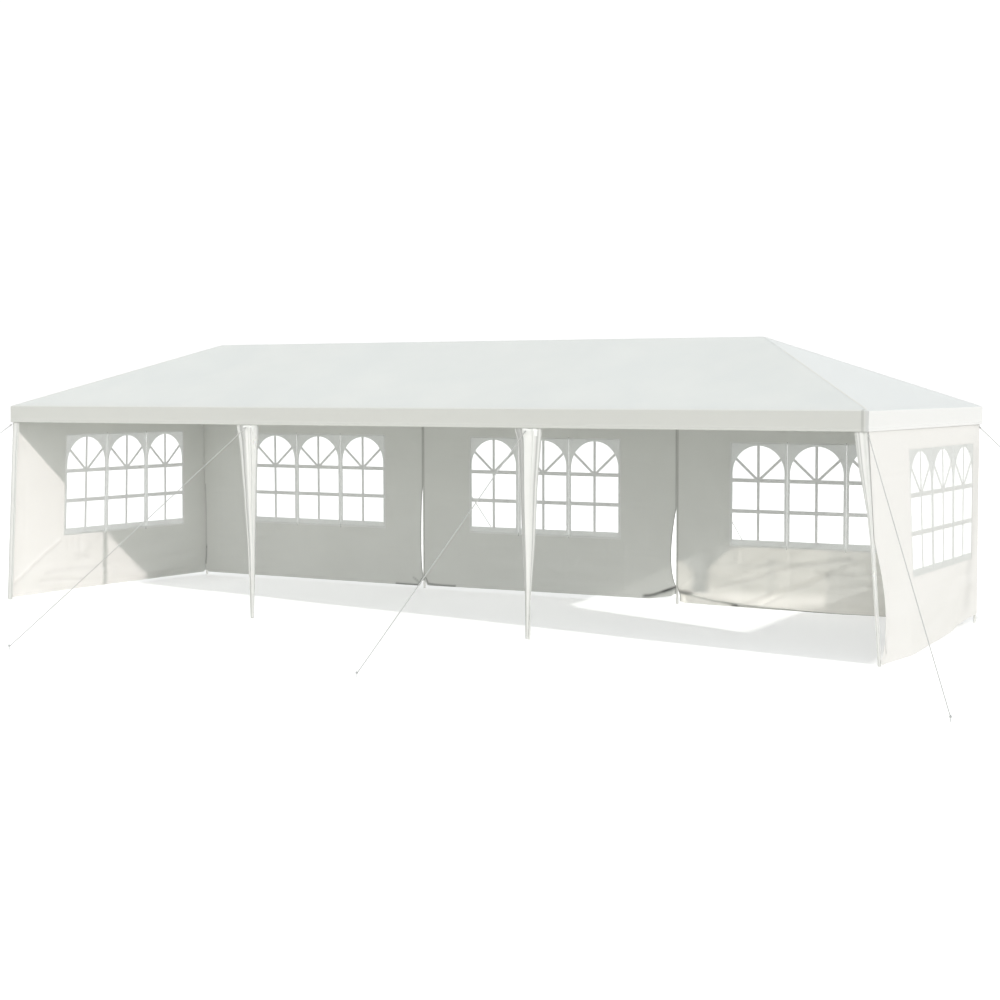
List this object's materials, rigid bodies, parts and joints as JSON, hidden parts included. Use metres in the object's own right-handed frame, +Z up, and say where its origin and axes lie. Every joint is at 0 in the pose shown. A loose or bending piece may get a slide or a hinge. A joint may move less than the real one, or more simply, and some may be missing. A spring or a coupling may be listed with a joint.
{
  "type": "party tent",
  "caption": "White party tent with a hipped cloth roof on a steel tube frame, an open front with leg drapes, and cloth back and end walls with arched windows.",
  "frame": {"origin": "on the ground at the centre of the footprint", "axes": "+X along the ridge towards the right end, +Y towards the closed back, +Z up; the open front faces -Y"},
  "size_m": [11.6378, 8.3698, 2.6092],
  "materials": {
    "frame_steel": "white coated steel tube, satin",
    "cover_cloth": "white coated woven roof cloth, semi-matt",
    "valance_cloth": "white coated woven cloth, semi-matt",
    "wall_cloth": "white coated woven wall cloth, slightly translucent",
    "drape_cloth": "white coated woven cloth, pleated",
    "window_film": "clear flexible film",
    "guy_rope": "white braided rope"
  },
  "bodies": {
    "root": {"front_left_leg": "frame_steel", "front_mid_left_leg": "frame_steel", "front_mid_right_leg": "frame_steel", "front_right_leg": "frame_steel", "back_left_leg": "frame_steel", "back_mid_left_leg": "frame_steel", "back_mid_right_leg": "frame_steel", "back_right_leg": "frame_steel", "front_eave_rail": "frame_steel", "back_eave_rail": "frame_steel", "left_eave_rail": "frame_steel", "right_eave_rail": "frame_steel", "ridge_pole": "frame_steel", "front_mid_left_rafter": "frame_steel", "front_mid_right_rafter": "frame_steel", "front_left_hip_rafter": "frame_steel", "front_right_hip_rafter": "frame_steel", "back_mid_left_rafter": "frame_steel", "back_mid_right_rafter": "frame_steel", "back_left_hip_rafter": "frame_steel", "back_right_hip_rafter": "frame_steel", "roof_front_panel": "cover_cloth", "roof_back_panel": "cover_cloth", "roof_left_panel": "cover_cloth", "roof_right_panel": "cover_cloth", "front_valance": "valance_cloth", "back_valance": "valance_cloth", "left_valance": "valance_cloth", "right_valance": "valance_cloth", "back_left_wall": "wall_cloth", "back_left_window": "window_film", "back_mid_wall": "wall_cloth", "back_mid_window": "window_film", "back_right_wall": "wall_cloth", "back_right_window": "window_film", "left_end_wall": "wall_cloth", "left_end_window": "window_film", "right_end_wall": "wall_cloth", "right_end_window": "window_film", "front_left_drape": "drape_cloth", "front_mid_left_drape": "drape_cloth", "front_mid_right_drape": "drape_cloth", "front_right_drape": "drape_cloth", "front_left_guy_rope": "guy_rope", "front_mid_left_guy_rope": "guy_rope", "front_mid_right_guy_rope": "guy_rope", "front_right_guy_rope": "guy_rope", "back_left_guy_rope": "guy_rope", "back_mid_left_guy_rope": "guy_rope", "back_mid_right_guy_rope": "guy_rope", "back_right_guy_rope": "guy_rope"}
  },
  "joints": []
}
